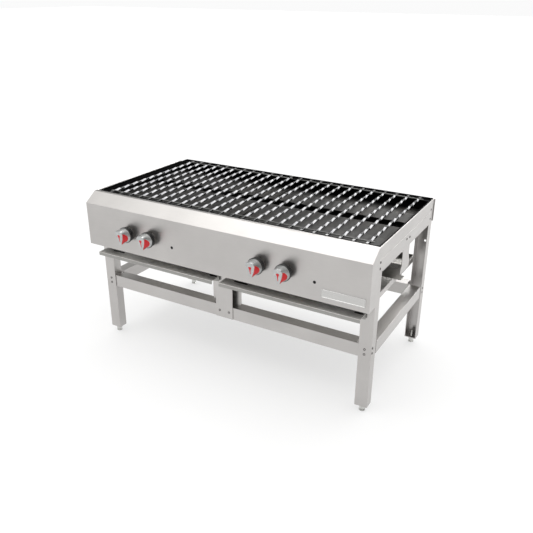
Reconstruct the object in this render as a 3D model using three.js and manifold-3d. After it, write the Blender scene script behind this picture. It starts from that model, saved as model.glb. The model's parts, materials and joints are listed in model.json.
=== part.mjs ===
// A four-burner gas charbroiler on a low open stand, in millimetres, +Z up.
// X runs along the front, centred. Inside the assembly group y = 0 is the front face of the legs
// and z = 0 is their lower end. The group is shifted so that the origin is the bottom centre.
import * as THREE from 'three';
import { ConvexGeometry } from 'three/addons/geometries/ConvexGeometry.js';
import { mergeVertices } from 'three/addons/utils/BufferGeometryUtils.js';
import Module from 'manifold-3d';

const wasm = await Module();
wasm.setup();

// ---- driving dimensions ----
const WIDTH = 914; // 36 in over the apron
const FRAME_DEPTH = 453; // front face of the front legs to back face of the rear legs
const TOP = 469; // top edge above the leg ends
const FOOT_HEIGHT = 20;
const SHEET = 2;
const GAP = 0.3; // clearance between touching pieces
const FACE_INSET = 3; // the legs stand this far inside the apron ends
const BAND_INSET = 1; // the side bands stand this far inside them

const LEG_WIDTH = 36;
const LEG_DEPTH = 30;
const LEG_TOP = 466;
const LEG_OPEN_FROM = 394; // above this height only the outer corner of a leg goes on

const RAIL_TOP = 190;
const RAIL_BOTTOM = 152;
const RAIL_DEPTH = 38;
const RAIL_SETBACK = 2.3;
const RAIL_NOTCH = 8;

const SIDE_RAIL_TOP = 432;
const SIDE_RAIL_BOTTOM = 396;
const SIDE_BAND_END = 421; // y where the side bands stop short of the rear legs

const APRON_FRONT = -50;
const APRON_BOTTOM = 311;
const APRON_BEND = 442; // lower edge of the sloping nose
const APRON_TOP_START = -10; // y where the slope meets the flat top edge

const KNOB_X = [-296, -216, 145, 226];
const KNOB_Z = 374;
const KNOB_FRONT = -96;
const KNOB_BACK = -64;
const KNOB_RADIUS = 23.5;
const KNOB_FACE_LEAN = 0.13; // backward lean of the grip's face per unit of height, towards its tip
// Right half of the grip's face as x and z, from its tip upwards.
const GRIP_FACE = [[3.5, -22.5], [13, 9], [13, 14], [10.5, 18], [6, 20.5]];
const GRIP_FOOT = 22; // radius of the grip where it meets the knob's disc
const BEZEL_RADIUS = 22;
const BEZEL_RIM = 6;
const BEZEL_FOOT_RADIUS = 15;
const BEZEL_FRONT = -60.5;
const SIGHT_HOLE_X = [-140, 308];
const SIGHT_HOLE_Z = 361;
const SIGHT_HOLE_RADIUS = 3.4;

const POST_HALF = 28.5;
const RUNNER_BOTTOM = 262;
const RUNNER_TOP = 280;
const RUNNER_LEDGE = 15;
const TRAY_TOP = 282;
const TRAY_BACK = 440;
const PULL_FRONT = -43;
const PULL_TOP = 285;
const PULL_INNER = 11.5;
const PULL_OUTER = 433;

const BRACKET_Y = [192, 248];
const BRACKET_BOTTOM = 322;
const BEAM_Y = [205, 235];
const BEAM_Z = [297, 331];

const FIREBOX_HALF = 451;
const FIREBOX_Y = [2.8, 450.2];
const FIREBOX_Z = [396.4, 467.5];
const GRATE_SEAT = 460.5; // top of the inner ledge that carries the grates
const DEFLECTOR_Y = [[30, 252], [297, 434]];
const DEFLECTOR_TOP = 438;
const DEFLECTOR_FOLD_BOTTOM = 404;
const BURNER_Y = [140, 362];
const BURNER_RADIUS = 12;

const BAR_COUNT = 24;
const BAR_FIRST_X = 415; // distance of the outermost bar from the middle
const BAR_SIZE = 6;
const ROD_SIZE = 4;
const BAR_TOP = 467;
const BAR_Y = [10.2, 447.5];
const ROD_Y = [33, 430];

// ---- derived places ----
const HALF = WIDTH / 2;
const LEG_OUTER = HALF - FACE_INSET;
const LEG_INNER = LEG_OUTER - LEG_WIDTH;
const BAND_OUTER = HALF - BAND_INSET;
const REAR_PANEL_BACK = 458;
const REAR_PANEL_TOP = 464;
const Y_MIDDLE = (KNOB_FRONT + REAR_PANEL_BACK) / 2;
const MANIFOLD_Y = -14;
const MANIFOLD_RADIUS = 10;
const GAS_TUBE_Z = 350;

// ---- materials ----
const steel = (color = 0xbdb9b4, roughness = 0.32) =>
  new THREE.MeshStandardMaterial({ color, roughness, metalness: 0.9 });
const STAINLESS = () => steel();
const DULL_STEEL = () => steel(0x8b8983, 0.4);
const BLACK_IRON = () => new THREE.MeshStandardMaterial({ color: 0x17171a, roughness: 0.5, metalness: 0.6 });
const BRASS = () => new THREE.MeshStandardMaterial({ color: 0xb08d4a, roughness: 0.35, metalness: 0.9 });
const SILVER_PLASTIC = () => new THREE.MeshStandardMaterial({ color: 0xb4b5b6, roughness: 0.35, metalness: 0.3 });

// ---- shape helpers ----
const X_AXIS = new THREE.Vector3(1, 0, 0);
const Y_AXIS = new THREE.Vector3(0, 1, 0);
const Z_AXIS = new THREE.Vector3(0, 0, 1);

function extruded(points, depth) {
  const shape = new THREE.Shape(points.map(([a, b]) => new THREE.Vector2(a, b)));
  return new THREE.ExtrudeGeometry(shape, { depth, bevelEnabled: false });
}

// Outline in (y, z), swept along X.
function prismX(points, x0, x1) {
  const geometry = extruded(points, x1 - x0);
  geometry.applyMatrix4(new THREE.Matrix4().makeBasis(Y_AXIS, Z_AXIS, X_AXIS));
  return geometry.translate(x0, 0, 0);
}

// Outline in (x, z), swept along Y.
function prismY(points, y0, y1) {
  const geometry = extruded(points, y1 - y0);
  geometry.applyMatrix4(new THREE.Matrix4().makeBasis(X_AXIS, Z_AXIS, Y_AXIS.clone().negate()));
  return geometry.translate(0, y1, 0);
}

// Outline in (x, y), swept along Z.
function prismZ(points, z0, z1) {
  return extruded(points, z1 - z0).translate(0, 0, z0);
}

function block([x0, x1], [y0, y1], [z0, z1]) {
  const geometry = new THREE.BoxGeometry(x1 - x0, y1 - y0, z1 - z0);
  return geometry.translate((x0 + x1) / 2, (y0 + y1) / 2, (z0 + z1) / 2);
}

function rodX(radius, [x0, x1], y, z, segments = 16) {
  const geometry = new THREE.CylinderGeometry(radius, radius, x1 - x0, segments);
  return geometry.rotateZ(-Math.PI / 2).translate((x0 + x1) / 2, y, z);
}

function rodY(radius, x, [y0, y1], z, segments = 16, frontRadius = radius) {
  const geometry = new THREE.CylinderGeometry(radius, frontRadius, y1 - y0, segments);
  return geometry.translate(x, (y0 + y1) / 2, z);
}

function rodZ(radius, x, y, [z0, z1], segments = 16) {
  const geometry = new THREE.CylinderGeometry(radius, radius, z1 - z0, segments);
  return geometry.rotateX(Math.PI / 2).translate(x, y, (z0 + z1) / 2);
}

function toManifold(geometry) {
  const bare = geometry.clone();
  bare.deleteAttribute('normal');
  bare.deleteAttribute('uv');
  const merged = mergeVertices(bare, 1e-4);
  const mesh = new wasm.Mesh({
    numProp: 3,
    vertProperties: new Float32Array(merged.attributes.position.array),
    triVerts: new Uint32Array(merged.index.array),
  });
  return new wasm.Manifold(mesh);
}

function toGeometry(manifold) {
  const mesh = manifold.getMesh();
  const geometry = new THREE.BufferGeometry();
  geometry.setAttribute('position', new THREE.BufferAttribute(new Float32Array(mesh.vertProperties), 3));
  geometry.setIndex(new THREE.BufferAttribute(new Uint32Array(mesh.triVerts), 1));
  geometry.computeVertexNormals();
  return geometry;
}

function combine(added, removed = []) {
  let result = toManifold(added[0]);
  for (const piece of added.slice(1)) result = result.add(toManifold(piece));
  for (const piece of removed) result = result.subtract(toManifold(piece));
  return toGeometry(result);
}

// The same shape on the other side of the x = 0 plane.
function mirrored(geometry) {
  const bare = geometry.clone();
  bare.deleteAttribute('normal');
  bare.deleteAttribute('uv');
  const flipped = mergeVertices(bare, 1e-4);
  flipped.scale(-1, 1, 1);
  const index = flipped.index.array;
  for (let i = 0; i < index.length; i += 3) [index[i], index[i + 1]] = [index[i + 1], index[i]];
  flipped.computeVertexNormals();
  return flipped;
}

const assembly = new THREE.Group();
assembly.position.set(0, -Y_MIDDLE, FOOT_HEIGHT);

function place(name, geometry, material) {
  const mesh = new THREE.Mesh(geometry, material);
  mesh.name = name;
  assembly.add(mesh);
}

// A right-hand shape and its mirror image.
function placePair(stem, geometry, material) {
  place(`${stem}_right`, geometry, material());
  place(`${stem}_left`, mirrored(geometry), material());
}

// ---- stand ----
// A leg is a folded channel with a drilled end plate; above the firebox seat its inner side is cut away.
function legGeometry(rear) {
  const y = (distance) => (rear ? FRAME_DEPTH - distance : distance);
  const outline = [
    [LEG_INNER, y(0)], [LEG_OUTER, y(0)], [LEG_OUTER, y(LEG_DEPTH)], [LEG_OUTER - SHEET, y(LEG_DEPTH)],
    [LEG_OUTER - SHEET, y(SHEET)], [LEG_INNER + SHEET, y(SHEET)], [LEG_INNER + SHEET, y(LEG_DEPTH)],
    [LEG_INNER, y(LEG_DEPTH)],
  ];
  const span = (a, b) => [Math.min(y(a), y(b)), Math.max(y(a), y(b))];
  const endPlate = block([LEG_INNER + 1, LEG_OUTER - 1], span(1, LEG_DEPTH), [0, 3]);
  const hole = rodZ(5.3, (LEG_INNER + LEG_OUTER) / 2, y(LEG_DEPTH / 2), [-1, 4]);
  const cableHole = rodY(3.5, LEG_OUTER - 12, span(-1, SHEET + 1), 330, 12);
  const upperCut = block([LEG_INNER - 1, LEG_OUTER - SHEET - 0.5], span(SHEET + 0.5, LEG_DEPTH + 1),
    [LEG_OPEN_FROM, LEG_TOP + 1]);
  return combine([prismZ(outline, 0, LEG_TOP), endPlate], [hole, upperCut, ...(rear ? [cableHole] : [])]);
}
placePair('leg_front', legGeometry(false), STAINLESS);
placePair('leg_rear', legGeometry(true), STAINLESS);

// A levelling foot: round pad, hexagon and threaded stem, screwed fully in.
function footGeometry(x, y) {
  const pad = rodZ(9, x, y, [-FOOT_HEIGHT, -15], 20);
  const hexagon = rodZ(8.5, x, y, [-15.5, -GAP], 6);
  const stem = rodZ(4.9, x, y, [-1, 24], 12);
  return combine([pad, hexagon, stem]);
}
const legMiddleX = (LEG_INNER + LEG_OUTER) / 2;
placePair('foot_front', footGeometry(legMiddleX, LEG_DEPTH / 2), DULL_STEEL);
placePair('foot_rear', footGeometry(legMiddleX, FRAME_DEPTH - LEG_DEPTH / 2), DULL_STEEL);

// Outline of an inverted channel from a to b, between two heights.
function channelOutline(a, b, low, high) {
  return [
    [a, low], [a, high], [b, high], [b, low], [b - SHEET, low], [b - SHEET, high - SHEET],
    [a + SHEET, high - SHEET], [a + SHEET, low],
  ].reverse();
}

function crossRail(y0, y1) {
  const end = LEG_INNER - GAP;
  const rail = prismX(channelOutline(y0, y1, RAIL_BOTTOM, RAIL_TOP), -end, end);
  const notch = (side) => block([side * end - RAIL_NOTCH, side * end + RAIL_NOTCH],
    [y0 + SHEET + 0.5, y1 - SHEET - 0.5], [RAIL_TOP - SHEET - 1, RAIL_TOP + 1]);
  return combine([rail], [notch(1), notch(-1)]);
}
place('rail_front_lower', crossRail(RAIL_SETBACK, RAIL_DEPTH), STAINLESS());
place('rail_rear_lower', crossRail(FRAME_DEPTH - RAIL_DEPTH, FRAME_DEPTH - RAIL_SETBACK), STAINLESS());
const sideRailLower = prismY(
  channelOutline(LEG_INNER, LEG_OUTER - 1, RAIL_BOTTOM, RAIL_TOP).reverse(),
  RAIL_DEPTH + GAP, FRAME_DEPTH - RAIL_DEPTH - GAP,
);
placePair('rail_side_lower', combine([sideRailLower]), STAINLESS);

// The upper side rail is an angle: its ledge carries the firebox and is notched for the hanger.
const bandInner = LEG_OUTER + GAP;
const betweenLegs = [LEG_DEPTH + 1, SIDE_BAND_END];
const upperRail = combine(
  [
    block([bandInner, BAND_OUTER], [GAP, SIDE_BAND_END], [SIDE_RAIL_BOTTOM, SIDE_RAIL_TOP]),
    block([LEG_INNER + 4, BAND_OUTER], betweenLegs, [SIDE_RAIL_BOTTOM - SHEET, SIDE_RAIL_BOTTOM + 0.01]),
  ],
  [block([LEG_OUTER - SHEET - 1, bandInner], [BRACKET_Y[0] - 2, BRACKET_Y[1] + 2], [390, 400])],
);
placePair('rail_side_upper', upperRail, STAINLESS);

// The side skirt closes the firebox side above the rail, up to the top edge.
const skirt = block([bandInner, BAND_OUTER], [GAP, SIDE_BAND_END], [SIDE_RAIL_TOP + 0.5, TOP]);
placePair('side_skirt', skirt, STAINLESS);

// ---- hangers, beam, posts and runners ----
const hangerOutline = [
  [BRACKET_Y[0], 430], [BRACKET_Y[0], 344], [BRACKET_Y[0] - 8, 340], [BRACKET_Y[0] - 8, BRACKET_BOTTOM],
  [BRACKET_Y[1] + 8, BRACKET_BOTTOM], [BRACKET_Y[1] + 8, 340], [BRACKET_Y[1], 362], [BRACKET_Y[1], 430],
].reverse();
placePair('hanger', prismX(hangerOutline, LEG_OUTER - SHEET, LEG_OUTER), STAINLESS);

const beamEnd = LEG_OUTER - SHEET - GAP;
const beamOutline = [
  [BEAM_Y[0], BEAM_Z[0]], [BEAM_Y[1], BEAM_Z[0]], [BEAM_Y[1], BEAM_Z[0] + SHEET],
  [BEAM_Y[0] + SHEET, BEAM_Z[0] + SHEET], [BEAM_Y[0] + SHEET, BEAM_Z[1] - SHEET],
  [BEAM_Y[1], BEAM_Z[1] - SHEET], [BEAM_Y[1], BEAM_Z[1]], [BEAM_Y[0], BEAM_Z[1]],
];
place('cross_beam', prismX(beamOutline, -beamEnd, beamEnd), DULL_STEEL());

const POST_TOP = 394;
place('post_front', block([-POST_HALF, POST_HALF], [0, SHEET], [RAIL_BOTTOM, POST_TOP]), STAINLESS());
place('post_rear', block([-POST_HALF, POST_HALF], [FRAME_DEPTH - SHEET, FRAME_DEPTH], [RAIL_BOTTOM, POST_TOP]),
  STAINLESS());

// Outline of the plate behind the front post, with rounded lower corners.
function gussetShape(halfWidth, low, high, radius) {
  const shape = new THREE.Shape();
  shape.moveTo(-halfWidth + radius, low);
  shape.lineTo(halfWidth - radius, low);
  shape.absarc(halfWidth - radius, low + radius, radius, -Math.PI / 2, 0, false);
  shape.lineTo(halfWidth, high);
  shape.lineTo(-halfWidth, high);
  shape.lineTo(-halfWidth, low + radius);
  shape.absarc(-halfWidth + radius, low + radius, radius, Math.PI, 1.5 * Math.PI, false);
  return shape;
}
const gusset = new THREE.ExtrudeGeometry(gussetShape(48, RAIL_TOP + 0.4, RUNNER_BOTTOM - 0.5, 12),
  { depth: SHEET, bevelEnabled: false, curveSegments: 6 });
gusset.applyMatrix4(new THREE.Matrix4().makeBasis(X_AXIS, Z_AXIS, Y_AXIS.clone().negate()));
place('post_gusset', gusset.translate(0, 19, 0), STAINLESS());

// Side runner: an angle on the inner faces of the legs, with two long slots near the back.
const runnerY = [SHEET + 1, FRAME_DEPTH - SHEET - 1];
const runnerWeb = LEG_INNER - GAP;
const slot = (y0, y1) => block([runnerWeb - SHEET - 1, runnerWeb + 1], [y0, y1], [RUNNER_BOTTOM + 9, RUNNER_TOP - 4]);
const sideRunner = combine(
  [
    block([runnerWeb - SHEET, runnerWeb], runnerY, [RUNNER_BOTTOM, RUNNER_TOP]),
    block([runnerWeb - SHEET - RUNNER_LEDGE, runnerWeb], runnerY, [RUNNER_BOTTOM, RUNNER_BOTTOM + SHEET]),
  ],
  [slot(250, 300), slot(320, 370)],
);
placePair('runner_side', sideRunner, STAINLESS);

// Centre runner: a raised rib between the two trays with a ledge each side.
const RIB_HALF = POST_HALF - 1;
const centreOutline = [
  [-RIB_HALF - RUNNER_LEDGE, RUNNER_BOTTOM], [-RIB_HALF + SHEET, RUNNER_BOTTOM],
  [-RIB_HALF + SHEET, RUNNER_TOP - SHEET], [RIB_HALF - SHEET, RUNNER_TOP - SHEET],
  [RIB_HALF - SHEET, RUNNER_BOTTOM], [RIB_HALF + RUNNER_LEDGE, RUNNER_BOTTOM],
  [RIB_HALF + RUNNER_LEDGE, RUNNER_BOTTOM + SHEET], [RIB_HALF, RUNNER_BOTTOM + SHEET],
  [RIB_HALF, RUNNER_TOP], [-RIB_HALF, RUNNER_TOP], [-RIB_HALF, RUNNER_BOTTOM + SHEET],
  [-RIB_HALF - RUNNER_LEDGE, RUNNER_BOTTOM + SHEET],
];
place('runner_centre', combine([prismY(centreOutline, ...runnerY)]), STAINLESS());

// ---- grease trays ----
const trayInner = RIB_HALF + 1.5;
const trayOuter = runnerWeb - SHEET - 0.6;
const trayFloor = RUNNER_BOTTOM + SHEET + 0.4;
const TRAY_WALL = 1.5;
const TRAY_FRONT = -4;

function trayGeometry(extra, holes) {
  const outside = block([trayInner, trayOuter], [TRAY_FRONT, TRAY_BACK], [trayFloor, TRAY_TOP]);
  const inside = block([trayInner + TRAY_WALL, trayOuter - TRAY_WALL],
    [TRAY_FRONT + TRAY_WALL, TRAY_BACK - TRAY_WALL], [trayFloor + TRAY_WALL, TRAY_TOP + 1]);
  return combine([outside, ...extra], [inside, ...holes]);
}
const SPOUT_X = 107;
const spout = rodZ(7, SPOUT_X, 12, [246, trayFloor + 1]);
const spoutHole = rodZ(5, SPOUT_X, 12, [240, trayFloor + 5]);
place('tray_right', trayGeometry([], []), DULL_STEEL());
place('tray_left', mirrored(trayGeometry([spout], [spoutHole])), DULL_STEEL());

// The pull is a folded strip: back web on the tray front, flat top with two end slots, front lip.
const PULL_LIP = 11;
const PULL_SHEET = 1.6;
const pullOutline = [
  [PULL_FRONT, PULL_TOP - PULL_LIP], [PULL_FRONT + PULL_SHEET, PULL_TOP - PULL_LIP],
  [PULL_FRONT + PULL_SHEET, PULL_TOP - PULL_SHEET], [TRAY_FRONT - GAP - PULL_SHEET, PULL_TOP - PULL_SHEET],
  [TRAY_FRONT - GAP - PULL_SHEET, 268], [TRAY_FRONT - GAP, 268], [TRAY_FRONT - GAP, PULL_TOP],
  [PULL_FRONT, PULL_TOP],
];
function pullGeometry(x0, x1) {
  const slot = (from, to) => block([from, to], [-15, -7], [PULL_TOP - 3, PULL_TOP + 1]);
  return combine([prismX(pullOutline, x0, x1)], [slot(x0 + 32, x0 + 76), slot(x1 - 29, x1 - 3)]);
}
place('tray_pull_right', pullGeometry(PULL_INNER, PULL_OUTER), DULL_STEEL());
place('tray_pull_left', pullGeometry(-PULL_OUTER, -PULL_INNER), DULL_STEEL());

// ---- apron, rear panel and nameplate ----
function apronGeometry() {
  const s = SHEET;
  const slope = Math.atan2(TOP - APRON_BEND, APRON_TOP_START - APRON_FRONT);
  const bend = s * Math.tan(slope / 2);
  const bendLow = s * Math.tan((Math.PI / 2 - slope) / 2);
  const back = -0.5;
  const outline = [
    [APRON_FRONT, APRON_BOTTOM], [APRON_FRONT + 12, APRON_BOTTOM], [APRON_FRONT + 12, APRON_BOTTOM + s],
    [APRON_FRONT + s, APRON_BOTTOM + s], [APRON_FRONT + s, APRON_BEND - bendLow],
    [APRON_TOP_START + bend, TOP - s], [back - s, TOP - s], [back - s, TOP - 10], [back, TOP - 10],
    [back, TOP], [APRON_TOP_START, TOP], [APRON_FRONT, APRON_BEND],
  ];
  const cheekOutline = [
    [APRON_FRONT, APRON_BOTTOM], [back, APRON_BOTTOM], [back, TOP], [APRON_TOP_START, TOP],
    [APRON_FRONT, APRON_BEND],
  ];
  const cuts = [
    ...KNOB_X.map((x) => rodY(6, x, [APRON_FRONT - 1, APRON_FRONT + 4], KNOB_Z)),
    ...SIGHT_HOLE_X.map((x) => rodY(SIGHT_HOLE_RADIUS, x, [APRON_FRONT - 1, APRON_FRONT + 4], SIGHT_HOLE_Z, 12)),
  ];
  return combine([
    prismX(outline, -HALF, HALF),
    prismX(cheekOutline, HALF - s, HALF),
    prismX(cheekOutline, -HALF, -HALF + s),
  ], cuts);
}
place('apron_panel', apronGeometry(), STAINLESS());
place('nameplate', block([328, 447], [APRON_FRONT - 1.5, APRON_FRONT - GAP], [324, 348]), STAINLESS());

const rearOutline = [
  [REAR_PANEL_BACK - SHEET, REAR_PANEL_TOP], [REAR_PANEL_BACK - SHEET, SIDE_RAIL_BOTTOM + SHEET],
  [FRAME_DEPTH + GAP, SIDE_RAIL_BOTTOM + SHEET], [FRAME_DEPTH + GAP, SIDE_RAIL_BOTTOM],
  [REAR_PANEL_BACK, SIDE_RAIL_BOTTOM], [REAR_PANEL_BACK, REAR_PANEL_TOP],
];
place('rear_panel', combine([prismX(rearOutline, -HALF, HALF)]), STAINLESS());

// ---- firebox, deflectors and burners ----
function fireboxGeometry() {
  const [y0, y1] = FIREBOX_Y;
  const [z0, z1] = FIREBOX_Z;
  const floorLedge = 12;
  const grateLedge = 16;
  const flange = 7;
  const half = FIREBOX_HALF - SHEET;
  const across = [-half, half];
  const body = block([-FIREBOX_HALF, FIREBOX_HALF], FIREBOX_Y, FIREBOX_Z);
  const chamber = block(across, [y0 + SHEET, y1 - SHEET], [z0 + SHEET, GRATE_SEAT - SHEET]);
  const recess = block(across, [y0 + SHEET, y1 - SHEET], [GRATE_SEAT, z1 - SHEET]);
  const opening = block(across, [y0 + flange, y1 - SHEET], [z1 - SHEET - 1, z1 + 1]);
  const mouth = block(across, [y0 + grateLedge, y1 - grateLedge], [GRATE_SEAT - SHEET - 1, GRATE_SEAT + 1]);
  const floorHole = (from, to) => block([from, to], [y0 + floorLedge, y1 - floorLedge], [z0 - 1, z0 + SHEET + 1]);
  return combine([body],
    [chamber, recess, opening, mouth, floorHole(floorLedge, half - floorLedge), floorHole(-half + floorLedge, -floorLedge)]);
}
place('firebox', fireboxGeometry(), BLACK_IRON());

const ledgeTop = FIREBOX_Z[0] + SHEET + GAP;
// A deflector is a plate with a shallow crown, long edges folded down, standing on its two folded ends.
function deflectorGeometry([y0, y1]) {
  const ends = [2, 447];
  const crown = 6;
  const mid = (y0 + y1) / 2;
  const skin = [
    [y0, DEFLECTOR_TOP - crown - SHEET], [mid, DEFLECTOR_TOP - SHEET], [y1, DEFLECTOR_TOP - crown - SHEET],
    [y1, DEFLECTOR_TOP - crown], [mid, DEFLECTOR_TOP], [y0, DEFLECTOR_TOP - crown],
  ];
  const foot = [
    [y0, ledgeTop], [y1, ledgeTop], [y1, DEFLECTOR_TOP - crown], [mid, DEFLECTOR_TOP],
    [y0, DEFLECTOR_TOP - crown],
  ];
  const fold = [DEFLECTOR_FOLD_BOTTOM, DEFLECTOR_TOP - crown - 0.01];
  return combine([
    prismX(skin, ...ends),
    block(ends, [y0, y0 + SHEET], fold),
    block(ends, [y1 - SHEET, y1], fold),
    prismX(foot, ends[0], ends[0] + SHEET),
    prismX(foot, ends[1] - SHEET, ends[1]),
  ]);
}
placePair('deflector_front', deflectorGeometry(DEFLECTOR_Y[0]), DULL_STEEL);
placePair('deflector_rear', deflectorGeometry(DEFLECTOR_Y[1]), DULL_STEEL);

// Each knob feeds one burner: [name, knob index, row].
const BURNERS = [['rear_left', 0, 1], ['front_left', 1, 0], ['rear_right', 2, 1], ['front_right', 3, 0]];
const burnerZ = ledgeTop + BURNER_RADIUS;
const THROAT_BOTTOM = 374;

function burnerGeometry(throatX, y) {
  const side = Math.sign(throatX);
  const ends = [side * 6, side * 442].sort((a, b) => a - b);
  const tube = rodX(BURNER_RADIUS, ends, y, burnerZ, 20);
  const throat = rodZ(9, throatX, y, [THROAT_BOTTOM, burnerZ]);
  const bore = rodZ(7, throatX, y, [THROAT_BOTTOM - 1, burnerZ - 4]);
  return combine([tube, throat], [bore]);
}

// A valve with its outlet tube: down from the body, back under the firebox and up to the injector.
function valveGeometry(x, burnerY) {
  const bodyY = [-44, MANIFOLD_Y - MANIFOLD_RADIUS - GAP];
  const body = block([x - 10, x + 10], bodyY, [KNOB_Z - 12, KNOB_Z + 12]);
  const nose = rodY(8, x, [-47, -43], KNOB_Z);
  const bore = rodY(4.3, x, [-48, -34], KNOB_Z);
  const bendRadius = 8;
  const startY = -34;
  const path = new THREE.CurvePath();
  const corner = (from, middle, to) => path.add(new THREE.QuadraticBezierCurve3(from, middle, to));
  const point = (y, z) => new THREE.Vector3(x, y, z);
  path.add(new THREE.LineCurve3(point(startY, KNOB_Z - 8), point(startY, GAS_TUBE_Z + bendRadius)));
  corner(point(startY, GAS_TUBE_Z + bendRadius), point(startY, GAS_TUBE_Z), point(startY + bendRadius, GAS_TUBE_Z));
  path.add(new THREE.LineCurve3(point(startY + bendRadius, GAS_TUBE_Z), point(burnerY - bendRadius, GAS_TUBE_Z)));
  corner(point(burnerY - bendRadius, GAS_TUBE_Z), point(burnerY, GAS_TUBE_Z), point(burnerY, GAS_TUBE_Z + bendRadius));
  path.add(new THREE.LineCurve3(point(burnerY, GAS_TUBE_Z + bendRadius), point(burnerY, THROAT_BOTTOM - 5)));
  const section = new THREE.Shape();
  section.absarc(0, 0, 4, 0, Math.PI * 2, false);
  const steps = Math.round(path.getLength() / 10);
  const tube = new THREE.ExtrudeGeometry(section, { steps, extrudePath: path, curveSegments: 4 });
  const nozzle = rodZ(6, x, burnerY, [THROAT_BOTTOM - 12, THROAT_BOTTOM - 4], 6);
  return combine([body, nose, tube, nozzle], [bore]);
}

BURNERS.forEach(([name, knob, row], i) => {
  const x = KNOB_X[knob];
  place(`burner_${name}`, burnerGeometry(x, BURNER_Y[row]), BLACK_IRON());
  place(`gas_valve_${i + 1}`, valveGeometry(x, BURNER_Y[row]), BRASS());
});

// ---- gas manifold with the supply run to the rear inlet ----
const INLET_X = -400;
function manifoldGeometry() {
  const main = rodX(MANIFOLD_RADIUS, [INLET_X - 10, KNOB_X[3] + 40], MANIFOLD_Y, KNOB_Z, 16);
  const run = rodY(8, INLET_X, [MANIFOLD_Y, 445], KNOB_Z, 12);
  const union = rodY(13, INLET_X, [425, 451], KNOB_Z, 6);
  const bore = rodY(6, INLET_X, [400, 460], KNOB_Z, 12);
  return combine([main, run, union], [bore]);
}
place('gas_manifold', manifoldGeometry(), DULL_STEEL());

// ---- knobs ----
// Knob at its own origin, back at y = 0: a disc, and a grip that tapers forward to a shield-shaped face
// pointing down.
function knobGeometry() {
  const length = KNOB_BACK - KNOB_FRONT;
  const discDepth = 6;
  const disc = rodY(KNOB_RADIUS, 0, [-discDepth, 0], 0, 32, KNOB_RADIUS - 1);
  const gripPoints = [];
  for (let i = 0; i < 24; i += 1) {
    const angle = (i / 24) * Math.PI * 2;
    gripPoints.push(new THREE.Vector3(GRIP_FOOT * Math.cos(angle), -discDepth + 1, GRIP_FOOT * Math.sin(angle)));
  }
  for (const side of [-1, 1]) {
    for (const [x, z] of GRIP_FACE) {
      const setback = KNOB_FACE_LEAN * (20.5 - z);
      gripPoints.push(new THREE.Vector3(side * x, setback - length, z));
    }
  }
  const grip = new ConvexGeometry(gripPoints);
  const bore = rodY(4.3, 0, [-12, 1], 0, 16);
  return combine([disc, grip], [bore]);
}
const knob = knobGeometry();
const bezel = combine(
  [
    rodY(BEZEL_FOOT_RADIUS, 0, [BEZEL_FRONT + BEZEL_RIM - 0.1, APRON_FRONT - GAP], 0, 32),
    rodY(BEZEL_RADIUS, 0, [BEZEL_FRONT, BEZEL_FRONT + BEZEL_RIM], 0, 32),
  ],
  [rodY(6.5, 0, [BEZEL_FRONT - 1, APRON_FRONT], 0)],
);
const stem = rodY(4, 0, [KNOB_BACK - 10, -38], 0, 12);
KNOB_X.forEach((x, i) => {
  place(`knob_${i + 1}`, knob.clone().translate(x, KNOB_BACK, KNOB_Z), SILVER_PLASTIC());
  place(`knob_bezel_${i + 1}`, bezel.clone().translate(x, 0, KNOB_Z), DULL_STEEL());
  place(`valve_stem_${i + 1}`, stem.clone().translate(x, 0, KNOB_Z), BRASS());
});

// ---- cooking grates ----
// Twelve square bars joined by a cross rod near each end.
function grateGeometry() {
  const pitch = (2 * BAR_FIRST_X) / (BAR_COUNT - 1);
  const rodMiddle = BAR_TOP - BAR_SIZE / 2;
  const pieces = [];
  for (let i = 0; i < BAR_COUNT / 2; i += 1) {
    const x = BAR_FIRST_X - i * pitch;
    pieces.push(block([x - BAR_SIZE / 2, x + BAR_SIZE / 2], BAR_Y, [BAR_TOP - BAR_SIZE, BAR_TOP]));
  }
  for (const y of ROD_Y) {
    pieces.push(block([8, BAR_FIRST_X + 14], [y - ROD_SIZE / 2, y + ROD_SIZE / 2],
      [rodMiddle - ROD_SIZE / 2, rodMiddle + ROD_SIZE / 2]));
  }
  return combine(pieces);
}
placePair('grate', grateGeometry(), BLACK_IRON);

const charbroiler = new THREE.Group();
charbroiler.add(assembly);

export default charbroiler;
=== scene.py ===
"""Looks of the charbroiler grill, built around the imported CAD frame."""

import json
import math
import random

import bpy
from mathutils import Matrix, Vector


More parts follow.
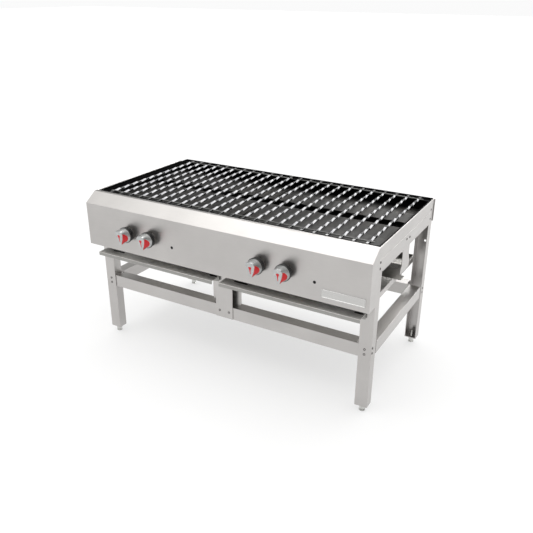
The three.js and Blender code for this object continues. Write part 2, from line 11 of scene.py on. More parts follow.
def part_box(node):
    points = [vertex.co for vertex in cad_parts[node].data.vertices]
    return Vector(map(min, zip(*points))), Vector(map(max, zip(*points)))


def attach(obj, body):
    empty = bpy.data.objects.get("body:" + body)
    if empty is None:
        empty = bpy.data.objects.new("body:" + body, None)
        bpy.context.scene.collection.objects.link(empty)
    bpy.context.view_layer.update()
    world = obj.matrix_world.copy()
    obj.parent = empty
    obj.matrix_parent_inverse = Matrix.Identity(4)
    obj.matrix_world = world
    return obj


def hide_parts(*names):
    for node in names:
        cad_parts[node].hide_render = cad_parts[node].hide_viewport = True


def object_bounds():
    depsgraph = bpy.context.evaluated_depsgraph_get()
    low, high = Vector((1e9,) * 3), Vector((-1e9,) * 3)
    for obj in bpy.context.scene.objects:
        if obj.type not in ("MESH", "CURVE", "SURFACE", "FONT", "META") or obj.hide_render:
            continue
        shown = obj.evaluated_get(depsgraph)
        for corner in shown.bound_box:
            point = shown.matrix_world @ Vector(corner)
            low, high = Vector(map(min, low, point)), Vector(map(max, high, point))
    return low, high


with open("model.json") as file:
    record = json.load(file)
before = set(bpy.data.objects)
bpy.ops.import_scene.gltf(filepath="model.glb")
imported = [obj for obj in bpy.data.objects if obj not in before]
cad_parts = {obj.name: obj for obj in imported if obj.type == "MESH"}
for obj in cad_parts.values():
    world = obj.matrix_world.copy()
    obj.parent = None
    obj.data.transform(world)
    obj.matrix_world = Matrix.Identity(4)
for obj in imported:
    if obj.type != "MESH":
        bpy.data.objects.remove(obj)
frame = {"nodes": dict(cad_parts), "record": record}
cad_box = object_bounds()
rng = random.Random(11)

MM = 0.001
NODES = frame["nodes"]
SLOTS = {part["node"]: part["material_slot"] for part in frame["record"]["subparts"]}
SIDES = ("left", "right")

leg_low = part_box("leg_front_left")[0]
LEG_FRONT_Y = leg_low.y / MM
LEG_END_Z = leg_low.z / MM


def at(x, y, z):
    """A point given in mm from the middle, the legs' front face and the legs' lower ends."""
    return Vector((x, y + LEG_FRONT_Y, z + LEG_END_Z)) * MM


# ---- camera ----
CAMERA_PLACE = (907.9, -1339.6, 1032.0)
CAMERA_AZIMUTH = 29.8
CAMERA_PITCH = 23.92
CAMERA_ROLL = 0.33
LENS = 42.265


def add_camera():
    azimuth, pitch, roll = (math.radians(a) for a in (CAMERA_AZIMUTH, CAMERA_PITCH, CAMERA_ROLL))
    forward = Vector(
        (-math.sin(azimuth) * math.cos(pitch), math.cos(azimuth) * math.cos(pitch), -math.sin(pitch))
    )
    level = Vector((math.cos(azimuth), math.sin(azimuth), 0))
    over = level.cross(forward)
    right = level * math.cos(roll) + over * math.sin(roll)
    up = over * math.cos(roll) - level * math.sin(roll)
    camera = bpy.data.objects.new("camera", bpy.data.cameras.new("camera"))
    camera.data.lens = LENS
    camera.data.sensor_width = 36
    camera.matrix_world = Matrix.Translation(at(*CAMERA_PLACE)) @ Matrix(
        (right, up, -forward)
    ).transposed().to_4x4()
    bpy.context.scene.collection.objects.link(camera)
    bpy.context.scene.camera = camera


add_camera()


# ---- materials ----
class Tree:
    """A material's node tree with short calls for the nodes that are used here."""

    def __init__(self, name, metallic, **constants):
        self.material = bpy.data.materials.new(name)
        self.material.use_nodes = True
        self.nodes = self.material.node_tree.nodes
        self.links = self.material.node_tree.links
        self.shader = self.nodes["Principled BSDF"]
        self.shader.inputs["Metallic"].default_value = metallic
        for key, value in constants.items():
            self.shader.inputs[key.replace("_", " ")].default_value = value
        self.place = self.nodes.new("ShaderNodeTexCoord").outputs["Object"]

    def noise(self, scale, stretch=(1, 1, 1), detail=4, rough=0.55):
        mapping = self.nodes.new("ShaderNodeMapping")
        mapping.inputs["Scale"].default_value = stretch
        self.links.new(self.place, mapping.inputs["Vector"])
        noise = self.nodes.new("ShaderNodeTexNoise")
        noise.inputs["Scale"].default_value = scale
        noise.inputs["Detail"].default_value = detail
        noise.inputs["Roughness"].default_value = rough
        self.links.new(mapping.outputs["Vector"], noise.inputs["Vector"])
        return noise.outputs["Fac"]

    def spread(self, value, low, high, start=0.3, end=0.7):
        node = self.nodes.new("ShaderNodeMapRange")
        for key, number in zip(("From Min", "From Max", "To Min", "To Max"), (start, end, low, high)):
            node.inputs[key].default_value = number
        self.links.new(value, node.inputs["Value"])
        return node.outputs["Result"]

    def blend(self, factor, a, b, mode="MIX"):
        node = self.nodes.new("ShaderNodeMix")
        node.data_type = "RGBA"
        node.blend_type = mode
        for key, value in ((0, factor), (6, a), (7, b)):
            if isinstance(value, bpy.types.NodeSocket):
                self.links.new(value, node.inputs[key])
            else:
                node.inputs[key].default_value = value
        return node.outputs[2]

    def maths(self, operation, a, b=0.0):
        node = self.nodes.new("ShaderNodeMath")
        node.operation = operation
        for key, value in ((0, a), (1, b)):
            if isinstance(value, bpy.types.NodeSocket):
                self.links.new(value, node.inputs[key])
            else:
                node.inputs[key].default_value = value
        return node.outputs[0]

    def axis(self, name):
        node = self.nodes.new("ShaderNodeSeparateXYZ")
        self.links.new(self.place, node.inputs[0])
        return node.outputs[name]

    def edges(self, start=0.51, end=0.56):
        geometry = self.nodes.new("ShaderNodeNewGeometry")
        return self.spread(geometry.outputs["Pointiness"], 0.0, 1.0, start, end)

    def bump(self, height, strength, distance):
        node = self.nodes.new("ShaderNodeBump")
        node.inputs["Strength"].default_value = strength
        node.inputs["Distance"].default_value = distance
        self.links.new(height, node.inputs["Height"])
        self.links.new(node.outputs["Normal"], self.shader.inputs["Normal"])

    def finish(self, colour, roughness):
        self.links.new(colour, self.shader.inputs["Base Color"])
        self.links.new(roughness, self.shader.inputs["Roughness"])
        return self.material


def rgb(r, g, b):
    return (r, g, b, 1)


def tinted(colour, factor):
    return rgb(*(min(1, c * factor) for c in colour))


GRAIN = {"x": (0.035, 1, 1), "y": (1, 0.035, 1), "z": (1, 1, 0.035)}


def brushed(name, colour, rough, grain, mottle=0.05, film=0.0):
    """Brushed sheet: fine lines along one axis, soft cloudy patches and a few handling smears."""
    tree = Tree(name, 1.0)
    lines = tree.noise(900, GRAIN[grain], detail=3)
    cloud = tree.noise(7, detail=3)
    smear = tree.noise(26, GRAIN[grain], detail=5, rough=0.7)
    tone = tree.blend(tree.spread(cloud, 0, 1), tinted(colour, 1 - mottle), tinted(colour, 1 + mottle))
    tone = tree.blend(tree.spread(lines, 0, 0.09), tone, tinted(colour, 0.62))
    if film:
        stain = tree.spread(tree.noise(16, detail=6, rough=0.7), 0, film, 0.5, 0.75)
        tone = tree.blend(stain, tone, rgb(0.30, 0.24, 0.17))
    roughness = tree.maths(
        "ADD", tree.spread(lines, rough - 0.025, rough + 0.03), tree.spread(smear, -0.03, 0.05, 0.4, 0.75)
    )
    tree.bump(lines, 0.07, 0.00012)
    return tree.finish(tone, roughness)


def plate_steel(painted_shade_line):
    """Pressed deflector steel: grey scale with dark and pale specks, browned by heat, and painted near-black below a
    line just under the top as painted shade on the turned-down flanges.
    """
    tree = Tree("deflector_plate", 0.85, Specular_IOR_Level=0.25)
    speck = tree.noise(420, detail=5, rough=0.75)
    cloud = tree.noise(11, detail=4)
    tone = tree.blend(tree.spread(speck, 0, 1, 0.36, 0.64), rgb(0.006, 0.0059, 0.0057), rgb(0.040, 0.039, 0.037))
    tone = tree.blend(tree.spread(cloud, 0, 0.4, 0.45, 0.75), tone, rgb(0.045, 0.038, 0.030))
    # painted shade: below the line, just under the top, the plate is made near-black for the shade on its flanges
    painted_shade_below = tree.spread(tree.axis("Z"), 1, 0, painted_shade_line - 0.001, painted_shade_line)
    tone = tree.blend(painted_shade_below, tone, rgb(0.008, 0.008, 0.008))
    tree.bump(speck, 0.5, 0.0005)
    return tree.finish(tone, tree.spread(speck, 0.36, 0.55))


def bar_iron(straight_ends):
    """Black oiled twisted bar, rubbed bright on its corners, with a flat grey tone on the straight ends."""
    tree = Tree("grate_bar", 1.0)
    grit = tree.noise(650, detail=4, rough=0.7)
    cloud = tree.noise(30, detail=4)
    tone = tree.blend(tree.spread(cloud, 0, 1), rgb(0.095, 0.095, 0.10), rgb(0.15, 0.15, 0.152))
    rubbed = tree.maths("MULTIPLY", tree.edges(0.51, 0.56), tree.spread(grit, 0.0, 0.15))
    tone = tree.blend(rubbed, tone, rgb(0.25, 0.25, 0.26))
    low, high = straight_ends
    y = tree.axis("Y")
    ends = tree.maths("MAXIMUM", tree.spread(y, 1, 0, low - 0.003, low + 0.003),
                      tree.spread(y, 0, 1, high - 0.003, high + 0.003))
    tone = tree.blend(ends, tone, rgb(0.13, 0.13, 0.13))
    tree.bump(grit, 0.15, 0.0002)
    return tree.finish(tone, tree.spread(grit, 0.12, 0.20))


def iron(name, colour, rough, depth, metallic=0.4, specular=0.5):
    """Cast or enamelled iron: grainy, uneven and slightly paler on its edges."""
    tree = Tree(name, metallic, Specular_IOR_Level=specular)
    grit = tree.noise(300, detail=6, rough=0.7)
    cloud = tree.noise(14, detail=4)
    tone = tree.blend(tree.spread(cloud, 0, 1), tinted(colour, 0.6), tinted(colour, 1.5))
    tone = tree.blend(tree.maths("MULTIPLY", tree.edges(), 0.3), tone, tinted(colour, 3))
    tree.bump(grit, 0.3, depth)
    return tree.finish(tone, tree.spread(grit, rough - 0.1, rough + 0.1))


def plated(name, colour, rough):
    """Zinc plating or turned brass: fine crystalline mottling and small scratches."""
    tree = Tree(name, 1.0)
    fine = tree.noise(500, detail=3)
    cloud = tree.noise(60, detail=3)
    tone = tree.blend(tree.spread(cloud, 0, 1), tinted(colour, 0.82), tinted(colour, 1.1))
    tree.bump(fine, 0.15, 0.0001)
    return tree.finish(tone, tree.spread(fine, rough - 0.06, rough + 0.08))


def plastic(name, colour, rough, metallic=0.0, depth=0.00008):
    """Moulded plastic: fine texture, faint flow mottling, handled paler edges."""
    tree = Tree(name, metallic)
    fine = tree.noise(900, detail=3)
    cloud = tree.noise(90, detail=3)
    tone = tree.blend(tree.spread(cloud, 0, 1), tinted(colour, 0.88), tinted(colour, 1.12))
    tree.bump(fine, 0.25, depth)
    return tree.finish(tone, tree.spread(fine, rough - 0.06, rough + 0.08))


def pull_steel(top):
    """Matt rolled steel of the tray pulls; the flat top, in shade under the apron, is painted much paler than the lip
    as painted light.
    """
    tree = Tree("pull_steel", 0.35)
    rolled = tree.noise(500, GRAIN["x"], detail=4)
    cloud = tree.noise(22, detail=4)
    painted_light_split = tree.spread(tree.axis("Z"), 1, 0, top - 0.0012, top - 0.0006)
    # painted light: the flat top is far paler than the lip to make up for the apron's shade over it
    tone = tree.blend(painted_light_split, rgb(0.90, 0.88, 0.85), rgb(0.34, 0.335, 0.32))
    tone = tree.blend(tree.spread(cloud, 0, 0.2), tone, rgb(0.24, 0.235, 0.22))
    tree.bump(rolled, 0.08, 0.0001)
    return tree.finish(tone, tree.spread(rolled, 0.40, 0.52))


STEEL = (0.50, 0.485, 0.474)
DULL = (0.43, 0.42, 0.40)
STAINLESS = {g: brushed(f"stainless_{g}", STEEL, 0.35, g) for g in "xyz"}
PULL_STEEL = pull_steel(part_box("tray_pull_right")[1].z)
TRAY_STEEL = brushed("tray_steel_x", DULL, 0.30, "x", mottle=0.08, film=0.25)
DEFLECTOR = plate_steel(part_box("deflector_front_left")[1].z - 0.0075)
CAST = iron("burner_iron", (0.06, 0.055, 0.05), 0.6, 0.0006)
ENAMEL = iron("firebox_enamel", (0.005, 0.005, 0.0055), 0.75, 0.0001, 0.0, 0.05)
ZINC = plated("zinc_plate", (0.62, 0.62, 0.60), 0.26)
BRASS = plated("turned_brass", (0.72, 0.55, 0.28), 0.28)
BEZEL_STEEL = plated("bezel_steel", (0.60, 0.59, 0.58), 0.42)
SCREW_STEEL = plated("screw_steel", (0.16, 0.155, 0.15), 0.34)
KNOB_SILVER = plastic("knob_silver", (0.47, 0.48, 0.48), 0.30, 0.75)
KNOB_RED = plastic("knob_red", (0.58, 0.005, 0.010), 0.40)
KNOB_BLACK = plastic("knob_black", (0.012, 0.012, 0.012), 0.42)

VERTICAL = ("leg_", "post_", "hanger_")
ALONG_Y = ("rail_side", "side_skirt", "runner")


def material_for(node):
    slot = SLOTS[node]
    if node.startswith("tray_pull"):
        return PULL_STEEL
    if slot == "stainless":
        if node.startswith(VERTICAL):
            return STAINLESS["z"]
        return STAINLESS["y"] if node.startswith(ALONG_Y) else STAINLESS["x"]
    return {
        "tray_steel": TRAY_STEEL,
        "deflector_steel": DEFLECTOR,
        "cast_iron": CAST,
        "firebox_enamel": ENAMEL,
        "zinc_steel": ZINC,
        "brass": BRASS,
        "knob_silver": KNOB_SILVER,
        "knob_black": KNOB_BLACK,
        "grate_iron": ENAMEL,
    }[slot]


EDGE_RADIUS = {"stainless": 0.7, "tray_steel": 0.5, "deflector_steel": 0.6, "firebox_enamel": 0.6, "brass": 0.8}


def dress_node(node, piece):
    """The CAD piece with its material and its sharp edges eased."""
    piece.data.materials.clear()
    piece.data.materials.append(material_for(node))
    weld = piece.modifiers.new("weld", "WELD")
    weld.merge_threshold = 0.02 * MM
    bevel = piece.modifiers.new("ease", "BEVEL")
    bevel.width = EDGE_RADIUS.get(SLOTS[node], 0.5) * MM
    bevel.segments = 2
    bevel.limit_method = "ANGLE"
    bevel.angle_limit = math.radians(40)
    normals = piece.modifiers.new("normals", "WEIGHTED_NORMAL")
    normals.keep_sharp = True


for node, piece in NODES.items():
    dress_node(node, piece)


# ---- mesh helpers ----
def add_mesh(name, points, faces, material, body, smooth_angle=35):
    mesh = bpy.data.meshes.new(name)
    mesh.from_pydata([tuple(p) for p in points], [], faces)
    mesh.materials.append(material)
    for polygon in mesh.polygons:
        polygon.use_smooth = True
    mesh.set_sharp_from_angle(angle=math.radians(smooth_angle))
    mesh.validate()
    piece = bpy.data.objects.new(name, mesh)
    bpy.context.scene.collection.objects.link(piece)
    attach(piece, body)
    return piece


class Shapes:
    """Points and faces of several closed shapes collected into one mesh."""

    def __init__(self):
        self.points = []
        self.faces = []

    def loops(self, loops, close_ends=True):
        """A skin over rings of equal length, the first and last ring filled."""
        start = len(self.points)
        count = len(loops[0])
        for loop in loops:
            self.points.extend(loop)
        for i in range(len(loops) - 1):
            for j in range(count):
                a = start + i * count + j
                b = start + i * count + (j + 1) % count
                self.faces.append((a, b, b + count, a + count))
        if close_ends:
            self.faces.append(tuple(range(start + count - 1, start - 1, -1)))
            last = start + (len(loops) - 1) * count
            self.faces.append(tuple(range(last, last + count)))

    def turned(self, profile, frame_matrix, sides=24, hexagonal=()):
        """A turned shape: profile is (radius, height) pairs; rings listed in hexagonal are six-sided."""
        loops = []
        for index, (radius, height) in enumerate(profile):
            ring = []
            for j in range(sides):
                angle = 2 * math.pi * j / sides
                r = radius
                if index in hexagonal:
                    r *= math.cos(math.pi / 6) / math.cos((angle % (math.pi / 3)) - math.pi / 6)
                ring.append(frame_matrix @ Vector((r * math.cos(angle), r * math.sin(angle), height)))
            loops.append(ring)
        self.loops(loops)


def facing(point, axis):
    """A frame in metres at a point, whose own Z runs along the axis and whose units are mm."""
    return Matrix.Translation(point) @ Vector(axis).to_track_quat("Z", "Y").to_matrix().to_4x4() @ Matrix.Scale(MM, 4)


# ---- cooking grates: twisted square bars ----
BAR_COUNT = 24
BAR_SIZE = 6
BAR_CORNER = 0.3
ROD_RADIUS = 2.1
TWIST_START = 26
TWIST_END = 427
QUARTER_TURNS = 10
ROD_Y = (33, 430)
grate_low, grate_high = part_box("grate_right")
BAR_OUTER_X = 415
BAR_PITCH = 2 * BAR_OUTER_X / (BAR_COUNT - 1)
BAR_CENTRE_Z = grate_high.z / MM - LEG_END_Z - BAR_SIZE / 2


def bar_section(x, y, angle):
    half, flat = BAR_SIZE / 2, BAR_SIZE / 2 - BAR_CORNER
    ring = []
    for quarter in range(4):
        for u, v in ((half, -flat), (half, flat)):
            turn = angle + quarter * math.pi / 2
            ring.append(
                at(x + u * math.cos(turn) - v * math.sin(turn), y, BAR_CENTRE_Z + u * math.sin(turn) + v * math.cos(turn))
            )
    return ring


def twist_at(y):
    share = min(1, max(0, (y - TWIST_START) / (TWIST_END - TWIST_START)))
    return share * QUARTER_TURNS * math.pi / 2


def make_grate(side):
    sign = 1 if side == "right" else -1
    low_y = grate_low.y / MM - LEG_FRONT_Y
    high_y = grate_high.y / MM - LEG_FRONT_Y
    steps = 104
    shapes = Shapes()
    for i in range(BAR_COUNT // 2):
        x = sign * (BAR_OUTER_X - i * BAR_PITCH)
        ys = [low_y, low_y + 1, *(TWIST_START + (TWIST_END - TWIST_START) * k / steps for k in range(steps + 1)),
              high_y - 1, high_y]
        loops = []
        for y in ys:
            loop = bar_section(x, y, twist_at(y))
            if y in (low_y, high_y):
                middle = at(x, y, BAR_CENTRE_Z)
                loop = [middle + (p - middle) * 0.85 for p in loop]
            loops.append(loop[::-1])
        shapes.loops(loops)
    bars = add_mesh(f"grate_bars_{side}", shapes.points, shapes.faces, BAR_IRON, f"grate_{side}", 30)
    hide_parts(f"grate_{side}")
    rods = Shapes()
    for y in ROD_Y:
        ends = sorted((sign * 8.5, sign * (BAR_OUTER_X + 13.5)))
        loops = []
        for x, scale in ((ends[0], 0.8), (ends[0] + 0.8, 1), (ends[1] - 0.8, 1), (ends[1], 0.8)):
            ring = []
            reach = ROD_RADIUS * scale
            for k in range(8):
                angle = math.radians(22.5 + 45 * k)
                ring.append(at(x, y + reach * math.cos(angle), BAR_CENTRE_Z + reach * math.sin(angle)))
            loops.append(ring)
        rods.loops(loops)
    add_mesh(f"grate_rods_{side}", rods.points, rods.faces, ROD_STEEL, f"grate_{side}")


BAR_IRON = bar_iron((at(0, TWIST_START, 0).y, at(0, TWIST_END, 0).y))
ROD_STEEL = iron("grate_rod", (0.07, 0.07, 0.068), 0.45, 0.0002, 0.5, 0.3)
for side in SIDES:
    make_grate(side)


# ---- knobs ----
KNOB_DISC = 6
GRIP_BASE = 22
FACE_LEAN = 0.13
SHIELD_TOP = 21
SHIELD = ((0, -23), (3.5, -22.5), (13, 9), (13, 14), (10.5, 18), (6, 20.5), (0, 21))


def shield_radius(angle):
    """Distance from the knob's middle to the edge of the grip's front face."""
    side = 1 if math.cos(angle) >= 0 else -1
    direction = Vector((abs(math.cos(angle)), math.sin(angle)))
    for (x0, z0), (x1, z1) in zip(SHIELD, SHIELD[1:]):
        edge = Vector((x1 - x0, z1 - z0))
        cross = direction.x * edge.y - direction.y * edge.x
        if abs(cross) < 1e-9:
            continue
        reach = (x0 * edge.y - z0 * edge.x) / cross
        along = (x0 * direction.y - z0 * direction.x) / cross
        if reach > 0 and -1e-6 <= along <= 1 + 1e-6:
            return reach
    return GRIP_BASE * side


def grip_point(angle, share, length, proud=0.0):
    """A point of the grip, from its foot on the disc (share 0) to its front face (share 1)."""
    pull = share
    radius = (1 - pull) * GRIP_BASE + pull * shield_radius(angle) + proud
    height = radius * math.sin(angle)
    reach = length - KNOB_DISC - FACE_LEAN * (SHIELD_TOP - height) * share
    return Vector((radius * math.cos(angle), -(KNOB_DISC + share * reach), height))


def make_knob(index):
    low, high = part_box(f"knob_{index}")
    bezel_middle = sum(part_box(f"knob_bezel_{index}"), Vector()) / 2
    centre = Vector(((low.x + high.x) / 2, high.y, bezel_middle.z))
    length = (high.y - low.y) / MM - 0.35
    body = f"knob_{index}"

    def spot(p):
        return centre + p * MM

    shapes = Shapes()
    sides = 72
    angles = [2 * math.pi * j / sides for j in range(sides)]
    skirt = ((22.6, 0.0), (23.5, -0.9), (23.5, -4.9), (22.8, -5.8), (21.5, -KNOB_DISC))
    rings = Shapes()
    rings.loops([[spot(Vector((r * math.cos(a), y, r * math.sin(a)))) for a in angles[::-1]] for r, y in skirt])
    skirt_piece = add_mesh(f"knob_skirt_{index}", rings.points, rings.faces, KNOB_BLACK, body, 32)
    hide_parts(f"knob_{index}")
    loops = []
    for share in (-0.01, 0.06, 0.14, 0.25, 0.38, 0.52, 0.66, 0.8, 0.9, 0.96):
        loops.append([spot(grip_point(a, share, length)) for a in angles])
    for inset, depth in ((0.15, 0.985), (0.6, 1.0), (1.6, 1.0)):
        loops.append([spot(grip_point(a, depth, length, -inset)) for a in angles])
    shapes.loops([loop[::-1] for loop in loops])
    add_mesh(f"knob_shell_{index}", shapes.points, shapes.faces, KNOB_SILVER, body, 32)

    for name, middle in (("right", -20), ("left", 200)):
        make_insert(f"knob_insert_{index}_{name}", spot, middle, length, body)
    make_pointer(f"knob_pointer_{index}", spot, length, body)


def make_insert(name, spot, middle, length, body):
    """A D-shaped red panel let into one flank of the grip."""
    columns, rows = 20, 8
    front, back = 0.92, 0.25
    half_angle = 66
    outer, inner = [], []
    for i in range(columns + 1):
        u = 2 * i / columns - 1
        angle = math.radians(middle + u * half_angle)
        depth = (front - back) * (1 - abs(u) ** 2.2) ** 0.8 + 0.015
        for j in range(rows + 1):
            share = front - depth * j / rows
            rise = 0.35 if 0 < j < rows and 0 < i < columns else 0.0
            outer.append(spot(grip_point(angle, share, length, rise)))
            inner.append(spot(grip_point(angle, share, length, -1.2)))
    width = rows + 1
    count = len(outer)
    faces = []
    flip = middle > 90
    for i in range(columns):
        for j in range(rows):
            a = i * width + j
            faces.append((a, a + 1, a + width + 1, a + width))
            faces.append((count + a + width, count + a + width + 1, count + a + 1, count + a))
    rim = [j for j in range(width)] + [i * width + rows for i in range(1, columns + 1)]
    rim += [columns * width + j for j in range(rows - 1, -1, -1)] + [i * width for i in range(columns - 1, 0, -1)]
    for a, b in zip(rim, rim[1:] + rim[:1]):
        faces.append((b, a, count + a, count + b))
    return add_mesh(name, outer + inner, faces, KNOB_RED, body, 50)


def make_pointer(name, spot, length, body):
    """A red drop on the grip's face that narrows to a line towards the tip."""
    flank = ((4.8, 7.5), (3.8, 3.5), (1.7, -1), (1.5, -5), (0.7, -13))
    outline = [(0, 9), *flank, *((-x, z) for x, z in reversed(flank))]
    loops = []
    for rise, scale in ((-0.8, 1.0), (0.2, 1.0), (0.34, 0.86)):
        loops.append([
            spot(Vector((x * scale, FACE_LEAN * (SHIELD_TOP - z) - length - rise, z * scale + (1 - scale) * 3)))
            for x, z in outline
        ])
    shapes = Shapes()
    shapes.loops(loops)
    add_mesh(name, shapes.points, shapes.faces, KNOB_RED, body, 50)


BEZEL_FOOT = 15
BEZEL_RIM = 6


def turned_ring(name, profile, matrix, material, sides=48):
    """A closed ring turned from a profile of (radius, height) pairs."""
    shapes = Shapes()
    angles = [2 * math.pi * j / sides for j in range(sides)]
    shapes.loops([[matrix @ Vector((r * math.cos(a), r * math.sin(a), h)) for a in angles] for r, h in profile],
                 close_ends=False)
    last = (len(profile) - 1) * sides
    for j in range(sides):
        k = (j + 1) % sides
        shapes.faces.append((last + j, last + k, k, j))
    return add_mesh(name, shapes.points, shapes.faces, material, "stand")


def make_bezel(index):
    """A satin sleeve against the apron, with a black ring round its wider front."""
    low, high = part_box(f"knob_bezel_{index}")
    centre = Vector(((low.x + high.x) / 2, high.y, (low.z + high.z) / 2))
    radius = (high.x - low.x) / 2 / MM
    depth = (high.y - low.y) / MM
    matrix = facing(centre, (0, -1, 0))
    inner = radius - 0.5
    sleeve = ((6.6, 0.0), (BEZEL_FOOT - 0.4, 0.0), (BEZEL_FOOT, 0.4), (BEZEL_FOOT, depth - BEZEL_RIM),
              (inner, depth - BEZEL_RIM), (inner, depth - 0.8), (8.5, depth - 0.8), (7.6, depth - 0.2),
              (6.6, depth - 0.2), (6.4, depth - 0.7), (6.4, 0.5))
    piece = turned_ring(f"knob_sleeve_{index}", sleeve, matrix, BEZEL_STEEL)
    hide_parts(f"knob_bezel_{index}")
    rim = ((inner + 0.05, depth - BEZEL_RIM + 0.2), (radius, depth - BEZEL_RIM + 0.7), (radius, depth - 0.6),
           (radius - 0.6, depth), (radius - 5, depth), (radius - 5, depth - 0.7), (inner + 0.05, depth - 0.7))
    turned_ring(f"knob_ring_{index}", rim, matrix, KNOB_BLACK)


for index in range(1, 5):
    make_knob(index)
    make_bezel(index)


# ---- fasteners ----
SCREW_PROFILE = ((3.6, -0.6), (3.6, 0.25), (3.3, 0.75), (2.8, 1.0), (2.4, 1.0), (2.2, 0.85), (2.1, -0.5))
LEG_SIDE_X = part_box("leg_front_right")[1].x / MM
BAND_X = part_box("side_skirt_right")[1].x / MM
REAR_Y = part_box("leg_rear_left")[1].y / MM - LEG_FRONT_Y


def make_screws():
    """Socket screws that hold the rails, hangers, bands and posts."""
    spots = []
    for sign in (-1, 1):
        side = (sign, 0, 0)
        front = ((sign * 435, 178), (sign * 435, 163))
        spots += [((x, 0, z), (0, -1, 0)) for x, z in front]
        spots += [((x, REAR_Y, z), (0, 1, 0)) for x, z in front]
        low, high = sign * LEG_SIDE_X, sign * BAND_X
        spots += [((low, y, z), side) for y, z in ((7, 184), (7, 169), (REAR_Y - 15, 177), (REAR_Y - 15, 163))]
        spots += [((low, REAR_Y - 22, z), side) for z in (438, 409)]
        spots += [((high, 8, z), side) for z in (426, 409)]
        spots += [((high, 208, 420), side), ((high, 233, 418), side)]
        spots += [((sign * 16, 0, 173), (0, -1, 0)), ((sign * 16, REAR_Y, 173), (0, 1, 0))]
    shapes = Shapes()
    for place, axis in spots:
        turn = Matrix.Rotation(rng.uniform(0, math.pi / 3), 4, "Z")
        shapes.turned(SCREW_PROFILE, facing(at(*place), axis) @ turn, 24, hexagonal=(5, 6))
    add_mesh("frame_screws", shapes.points, shapes.faces, SCREW_STEEL, "stand")


make_screws()


# ---- sight-hole grommets and pull-slot strips, both black as painted shade ----
SIGHT_HOLES = (-140, 308)
SIGHT_HOLE_Z = 361
APRON_FRONT = -50
GROMMET = ((3.25, -3.5), (3.25, -0.1), (4.3, 0.0), (4.3, 0.35), (3.9, 0.7), (2.6, 0.7), (2.3, 0.4), (2.2, -2.6))
PULL_SLOTS = {"left": ((-401, -357), (-40.5, -14.5)), "right": ((43.5, 87.5), (404, 430))}
SLOT_Y = (-15, -7)
PULL_TOP = 285


def make_shade_plug_grommets():
    """Black grommets that plug the two sight holes of the apron, closed at the back so that the holes read black as
    painted shade.
    """
    shapes = Shapes()
    for x in SIGHT_HOLES:
        # painted shade: each grommet is a closed black plug standing in for the dark inside its hole
        shapes.turned(GROMMET, facing(at(x, APRON_FRONT, SIGHT_HOLE_Z), (0, -1, 0)), 28)
    add_mesh("sight_shade_plug_grommets", shapes.points, shapes.faces, KNOB_BLACK, "stand")


def make_slot_shade_strips(side):
    """Black strips that fill the slots of a tray pull, standing in for the shade seen in them as painted shade."""
    shapes = Shapes()
    middle_y = sum(SLOT_Y) / 2
    radius = (SLOT_Y[1] - SLOT_Y[0]) / 2 - 0.3
    for x0, x1 in PULL_SLOTS[side]:
        loops = []
        for z, inset in ((-3.2, 0.6), (-2.8, 0.0), (-0.1, 0.0), (0.4, 0.2), (0.9, 0.9)):
            ring = []
            for k in range(24):
                angle = 2 * math.pi * (k + 0.5) / 24
                x = (x0 if math.cos(angle) < 0 else x1) + math.cos(angle) * (radius - inset)
                x -= math.copysign(radius + 0.3, math.cos(angle))
                ring.append(at(x, middle_y + math.sin(angle) * (radius - inset), PULL_TOP + z))
            loops.append(ring)
        shapes.loops(loops)
    # painted shade: black strips where the pull shows dark slots and gaps
    add_mesh(f"pull_slot_shade_strips_{side}", shapes.points, shapes.faces, KNOB_BLACK, f"tray_{side}")


make_shade_plug_grommets()
for side in SIDES:
    make_slot_shade_strips(side)


# ---- levelling feet ----
def make_foot(name):
    low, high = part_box(name)
    middle = Vector(((low.x + high.x) / 2, (low.y + high.y) / 2, low.z))
    radius = (high.x - low.x) / 2 / MM
    shapes = Shapes()
    shapes.turned(
        ((radius - 1.2, 0), (radius - 0.2, 0.5), (radius, 1.4), (radius - 0.3, 3.4), (radius - 1.6, 4.8), (5.6, 5.0)),
        facing(middle, (0, 0, 1)), 40,
    )
    shapes.turned(
        ((7.3, 4.9), (8.5, 5.5), (8.5, 18.9), (7.3, 19.6)), facing(middle, (0, 0, 1)), 48, hexagonal=(0, 1, 2, 3)
    )
    thread = []
    height = 19.5
    while height < 43:
        thread += [(4.2, height), (4.85, height + 0.55)]
        height += 1.25
    thread += [(4.2, 43.2), (3.4, 43.9)]
    shapes.turned(thread, facing(middle, (0, 0, 1)), 24)
    foot = add_mesh(f"{name}_turned", shapes.points, shapes.faces, ZINC, name, 40)
    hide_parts(name)


for row in ("front", "rear"):
    for side in SIDES:
        make_foot(f"foot_{row}_{side}")


# ---- burner ports ----
def make_ports():
    """Raised port nipples along both flanks of each burner tube."""
    for row in ("front", "rear"):
        for side in SIDES:
            low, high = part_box(f"burner_{row}_{side}")
            centre_y = (low.y + high.y) / 2
            centre_z = high.z - (high.y - low.y) / 2
            radius = (high.y - low.y) / 2
            shapes = Shapes()
            count = 26
            for i in range(count):
                x = low.x + (high.x - low.x) * (i + 1) / (count + 1)
                for tilt in (-40, 40):
                    axis = Vector((0, math.sin(math.radians(tilt)), math.cos(math.radians(tilt))))
                    point = Vector((x, centre_y, centre_z)) + axis * (radius - 0.8 * MM)
                    shapes.turned(((1.9, 0), (1.7, 1.7), (1.1, 1.8), (0.9, 0.9)), facing(point, axis), 12)
            add_mesh(f"burner_ports_{row}_{side}", shapes.points, shapes.faces, CAST, "stand")


make_ports()


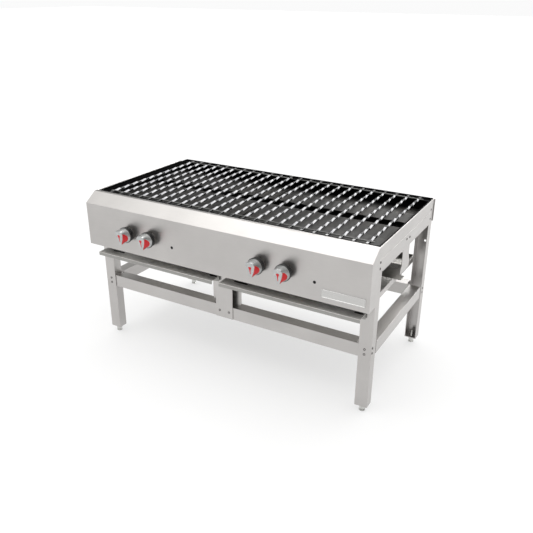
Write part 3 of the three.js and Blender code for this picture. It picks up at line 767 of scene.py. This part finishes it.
# ---- blank name badge ----
def make_badge():
    low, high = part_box("nameplate")
    back, front = high.y, low.y
    x0, x1, z0, z1 = low.x / MM, high.x / MM, low.z / MM, high.z / MM
    corner = 1.6

    def outline(inset, y):
        ring = []
        for cx, cz, start in (
            (x1 - corner, z1 - corner, 0), (x0 + corner, z1 - corner, 90),
            (x0 + corner, z0 + corner, 180), (x1 - corner, z0 + corner, 270),
        ):
            for k in range(5):
                angle = math.radians(start + 22.5 * k)
                reach = corner - min(inset, corner * 0.9)
                shift = max(0, inset - corner * 0.9)
                x = cx + reach * math.cos(angle) - math.copysign(shift, cx - (x0 + x1) / 2)
                z = cz + reach * math.sin(angle) - math.copysign(shift, cz - (z0 + z1) / 2)
                ring.append(Vector((x * MM, y, z * MM)))
        return ring

    loops = [outline(0, back), outline(0, front + 0.5 * MM), outline(0.6, front), outline(1.4, front),
             outline(2.6, front), outline(3.0, front + 0.5 * MM), outline(4.2, front + 0.5 * MM)]
    shapes = Shapes()
    shapes.loops(loops)
    badge = add_mesh("badge_blank", shapes.points, shapes.faces, BADGE, "stand", 30)
    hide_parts("nameplate")


BADGE = brushed("badge_satin", (0.54, 0.535, 0.525), 0.22, "x", mottle=0.03)
make_badge()


# ---- floor and light ----
def add_floor():
    size = 30
    mesh = bpy.data.meshes.new("floor")
    mesh.from_pydata([(-size, -size, 0), (size, -size, 0), (size, size, 0), (-size, size, 0)], [], [(0, 1, 2, 3)])
    tree = Tree("floor_paper", 0.0)
    cloud = tree.noise(0.8, detail=2)
    tone = tree.blend(tree.spread(cloud, 0, 1), rgb(0.30, 0.30, 0.30), rgb(0.32, 0.32, 0.32))
    tree.shader.inputs["Emission Color"].default_value = rgb(1, 1, 1)
    tree.shader.inputs["Emission Strength"].default_value = FLOOR_GLOW
    mesh.materials.append(tree.finish(tone, tree.spread(cloud, 0.85, 0.95)))
    floor = bpy.data.objects.new("floor", mesh)
    floor.location.z = cad_box[0][2] - 0.0005
    bpy.context.scene.collection.objects.link(floor)


def add_light(name, place, target, size, power, colour=(1, 1, 1)):
    data = bpy.data.lights.new(name, "AREA")
    data.shape = "RECTANGLE"
    data.size, data.size_y = size
    data.energy = power
    data.color = colour
    light = bpy.data.objects.new(name, data)
    light.location = place
    light.rotation_euler = (Vector(target) - Vector(place)).to_track_quat("-Z", "Y").to_euler()
    bpy.context.scene.collection.objects.link(light)
    return light


def add_world():
    """A studio that is pale at the horizon, dim above it and bright overhead."""
    world = bpy.data.worlds.new("studio")
    world.use_nodes = True
    nodes, links = world.node_tree.nodes, world.node_tree.links
    place = nodes.new("ShaderNodeTexCoord")
    parts = nodes.new("ShaderNodeSeparateXYZ")
    ramp = nodes.new("ShaderNodeValToRGB")
    links.new(place.outputs["Generated"], parts.inputs[0])
    links.new(parts.outputs["Z"], ramp.inputs["Fac"])
    ramp.color_ramp.elements[0].position = 0.0
    ramp.color_ramp.elements[0].color = rgb(0.40, 0.40, 0.40)
    ramp.color_ramp.elements[1].position = 1.0
    ramp.color_ramp.elements[1].color = rgb(1.0, 1.0, 1.0)
    for height, tone in ((0.10, 0.34), (0.24, 0.13), (0.50, 0.13), (0.70, 0.42), (0.82, 0.86)):
        ramp.color_ramp.elements.new(height).color = rgb(tone, tone, tone * 0.985)
    background = nodes["Background"]
    background.inputs["Strength"].default_value = SKY_STRENGTH
    links.new(ramp.outputs["Color"], background.inputs["Color"])
    bpy.context.scene.world = world


def add_glint():
    """A long softbox behind the grill, lined up with the twist of the bars and seen only in reflections."""
    centre = Vector((0, 0, 0.45))
    lean = math.radians(25)
    across = Vector((math.cos(lean), 0, -math.sin(lean)))
    away = (Vector((0, 0.78, 0)) + Vector((math.sin(lean), 0, math.cos(lean))) * 0.626).normalized()
    light = add_light("bar_glint", centre + away * 2.6, centre, (4.0, 1.5), GLINT_POWER)
    light.matrix_world = Matrix.Translation(centre + away * 2.6) @ Matrix(
        (across, away.cross(across), away)
    ).transposed().to_4x4()
    light.visible_diffuse = False
    light.visible_camera = False


SKY_STRENGTH = 2.4
GLINT_POWER = 95
FLOOR_GLOW = 0.62
add_floor()
add_world()
add_light("soft_key", (-1.2, -1.6, 3.2), (0, 0, 0.2), (1.6, 1.6), 12)
add_glint()
bpy.context.scene.view_settings.view_transform = "Standard"
